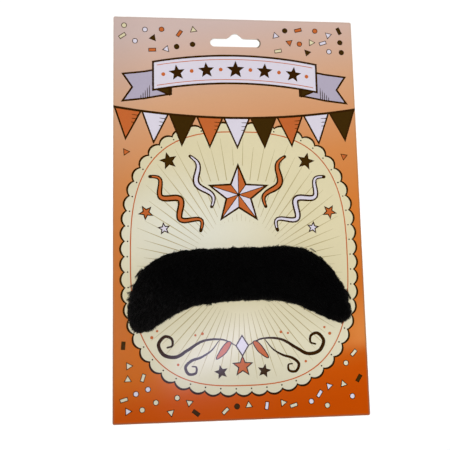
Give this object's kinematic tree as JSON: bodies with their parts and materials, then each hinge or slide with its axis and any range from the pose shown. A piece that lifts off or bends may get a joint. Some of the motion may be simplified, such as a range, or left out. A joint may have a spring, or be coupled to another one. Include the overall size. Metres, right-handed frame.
{
  "type": "fake moustache on display card",
  "caption": "Wide drooping black plush fake moustache stuck by hidden double-sided tape to a flat printed display card with a punched hang slot.",
  "frame": {"origin": "middle of the card's back face, on the surface that it lies on", "axes": "+Z out of the card's printed face, +Y up the card towards the hang slot, +X across it to the right as the face is seen"},
  "size_m": [0.155, 0.252, 0.0081],
  "materials": {
    "card": "gloss",
    "tape": "satin",
    "base_cloth": "matte",
    "pile": "matte"
  },
  "bodies": {
    "root": {"display_card": "card", "adhesive_tape": "tape", "base_cloth": "base_cloth", "plush_pile": "pile"}
  },
  "joints": []
}
